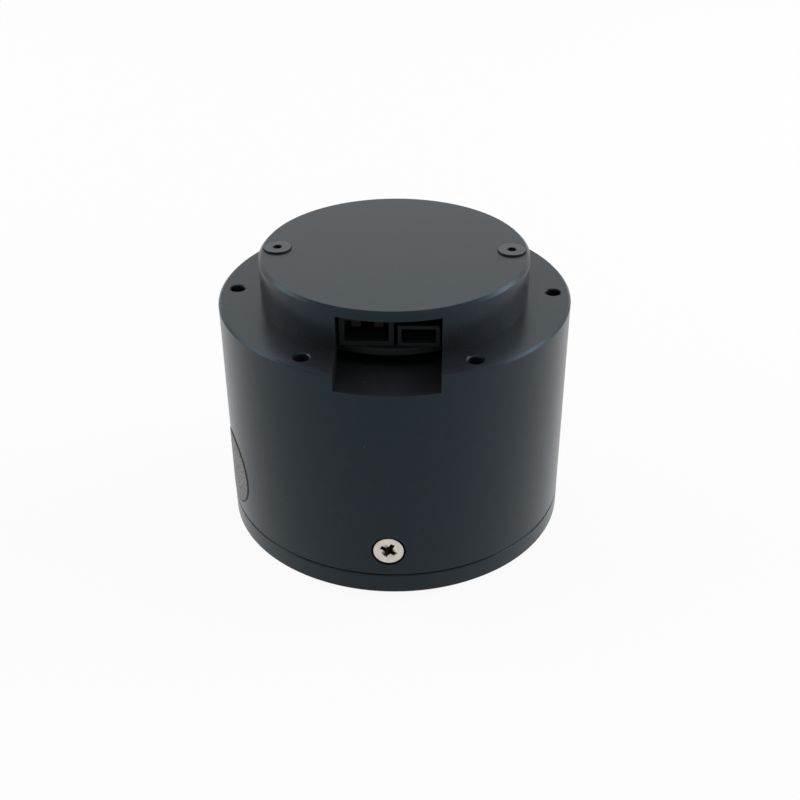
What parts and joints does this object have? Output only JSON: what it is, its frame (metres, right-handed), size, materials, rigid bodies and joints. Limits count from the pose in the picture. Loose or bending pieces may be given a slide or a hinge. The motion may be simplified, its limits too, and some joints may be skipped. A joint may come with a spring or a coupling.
{
  "type": "robot joint actuator",
  "caption": "Round rotary joint actuator: black cylinder with a bolt-on rear flange, a raised driver boss with a connector notch, and a turning output flange in front.",
  "frame": {"origin": "centre of the output flange's front face, which the part stands on", "axes": "+Z along the joint axis, from the output side to the driver side; the connector notch faces -Y"},
  "size_m": [0.06, 0.06, 0.0505],
  "materials": {
    "black_anodised": "satin black anodised",
    "output_alloy": "clear anodised, machined",
    "black_steel": "black oxide",
    "nickel_screw": "nickel plated",
    "seal_rubber": "matt black",
    "bearing_steel": "ground bright",
    "gear_steel": "hobbed, oiled",
    "shield_plastic": "moulded, matt",
    "stator_steel": "laminated, epoxy coated",
    "copper": "enamelled copper wire",
    "lead_insulation": "sleeved wire",
    "magnet": "nickel plated",
    "circuit_board": "solder mask",
    "chip_black": "moulded epoxy",
    "capacitor_can": "drawn can",
    "socket_black": "moulded nylon",
    "contact_pin": "plated contact",
    "foil": "satin foil sticker",
    "bronze": "sintered bronze"
  },
  "bodies": {
    "housing": {"main_housing": "black_anodised", "rear_cap": "black_anodised", "cap_screws": "black_steel", "side_screws": "nickel_screw", "front_cover": "black_anodised", "front_cover_screws": "black_steel", "output_seal": "seal_rubber", "output_bearing_outer": "bearing_steel", "ring_gear": "gear_steel", "grease_shield": "shield_plastic", "stator_core": "stator_steel", "stator_windings": "copper", "phase_leads": "lead_insulation", "front_bearing_outer": "bearing_steel", "rear_bearing_outer": "bearing_steel", "bearing_retaining_ring": "black_steel", "driver_board": "circuit_board", "board_screws": "nickel_screw", "mosfets": "chip_black", "microcontroller": "chip_black", "gate_driver": "chip_black", "capacitors": "capacitor_can", "encoder_sensor": "chip_black", "power_socket": "socket_black", "power_pins": "contact_pin", "signal_socket": "socket_black", "signal_pins": "contact_pin", "foil_label": "foil"},
    "output_stage": {"output_flange": "output_alloy", "hub_screws": "black_steel", "output_bearing_inner": "bearing_steel", "planet_carrier": "gear_steel", "carrier_plate": "gear_steel", "carrier_screws": "black_steel", "planet_pins": "bearing_steel"},
    "rotor": {"rotor_bell": "gear_steel", "rotor_magnets": "magnet", "rotor_hub": "output_alloy", "rotor_shaft": "bearing_steel", "sun_gear": "gear_steel", "front_bearing_inner": "bearing_steel", "rear_bearing_inner": "bearing_steel", "bearing_spacer": "output_alloy", "encoder_magnet_holder": "output_alloy", "encoder_magnet": "magnet"},
    "roller_set": {"output_bearing_rollers": "bearing_steel"},
    "planet_1": {"planet_gear_1": "gear_steel", "planet_bush_1": "bronze"},
    "planet_2": {"planet_gear_2": "gear_steel", "planet_bush_2": "bronze"},
    "planet_3": {"planet_gear_3": "gear_steel", "planet_bush_3": "bronze"}
  },
  "joints": [
    {"name": "output_spin", "type": "hinge", "parent": "housing", "child": "output_stage", "pos_m": [0, 0, 0.005], "axis": [0, 0, 1], "continuous": true},
    {"name": "rotor_spin", "type": "hinge", "parent": "housing", "child": "rotor", "pos_m": [0, 0, 0.0307], "axis": [0, 0, 1], "continuous": true},
    {"name": "roller_orbit", "type": "hinge", "parent": "housing", "child": "roller_set", "pos_m": [0, 0, 0.005], "axis": [0, 0, 1], "continuous": true},
    {"name": "planet_1_spin", "type": "hinge", "parent": "output_stage", "child": "planet_1", "pos_m": [0, 0.0126, 0.0141], "axis": [0, 0, 1], "continuous": true},
    {"name": "planet_2_spin", "type": "hinge", "parent": "output_stage", "child": "planet_2", "pos_m": [-0.01091, -0.0063, 0.0141], "axis": [0, 0, 1], "continuous": true},
    {"name": "planet_3_spin", "type": "hinge", "parent": "output_stage", "child": "planet_3", "pos_m": [0.01091, -0.0063, 0.0141], "axis": [0, 0, 1], "continuous": true}
  ],
  "couplings": [
    {"joint": "rotor_spin", "follows": "output_spin", "ratio": 6},
    {"joint": "roller_orbit", "follows": "output_spin", "ratio": 0.48},
    {"joint": "planet_1_spin", "follows": "output_spin", "ratio": -2.5},
    {"joint": "planet_2_spin", "follows": "output_spin", "ratio": -2.5},
    {"joint": "planet_3_spin", "follows": "output_spin", "ratio": -2.5}
  ]
}
